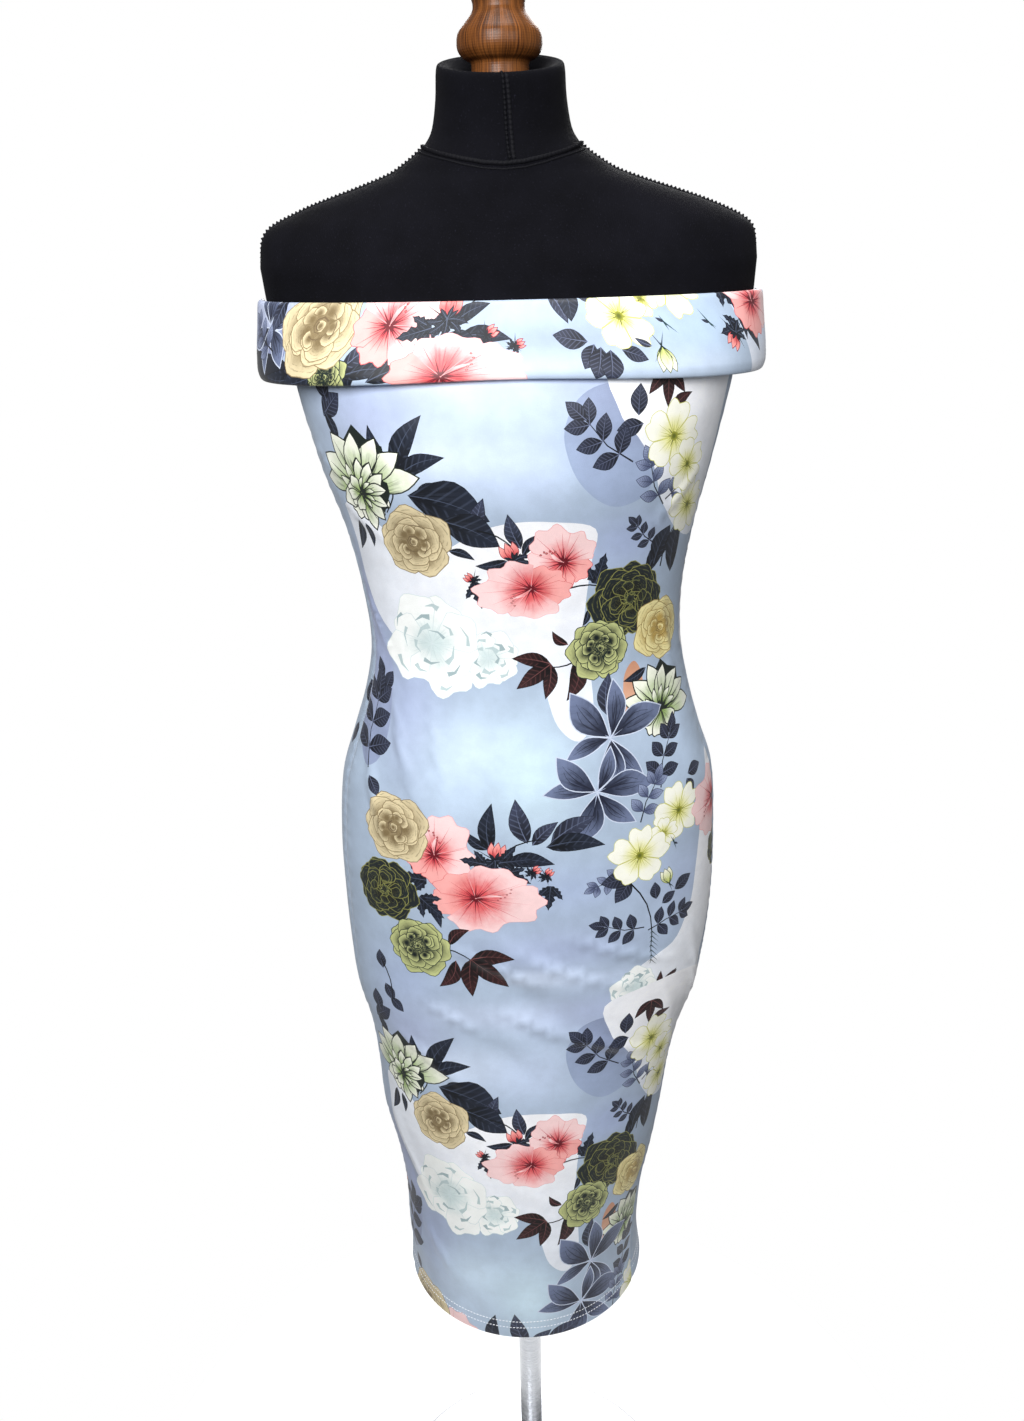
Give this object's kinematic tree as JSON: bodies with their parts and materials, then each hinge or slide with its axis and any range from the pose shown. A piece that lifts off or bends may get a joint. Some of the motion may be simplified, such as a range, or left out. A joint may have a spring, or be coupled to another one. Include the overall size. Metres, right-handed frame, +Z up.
{
  "type": "off-shoulder dress on a dress form",
  "caption": "Off-shoulder midi dress with a fold-over collar and a close skirt, worn by a limbless dress form on a pole and a round base.",
  "frame": {"origin": "centre of the base's flat underside, on the pole's axis", "axes": "+Z up along the pole, -Y out of the front of the dress, +X towards the right of a viewer who faces the front"},
  "size_m": [0.4094, 0.36, 1.7058],
  "materials": {
    "printed_jersey": "smooth scuba jersey with a soft sheen, printed with flowers on pale blue",
    "black_jersey": "matte fine knit",
    "stained_wood": "turned, stained brown and varnished",
    "satin_steel": "satin"
  },
  "bodies": {
    "root": {"front_panel": "printed_jersey", "back_panel": "printed_jersey", "collar_front": "printed_jersey", "collar_back": "printed_jersey", "form_body": "black_jersey", "finial": "stained_wood", "pole": "satin_steel", "base": "satin_steel"}
  },
  "joints": []
}
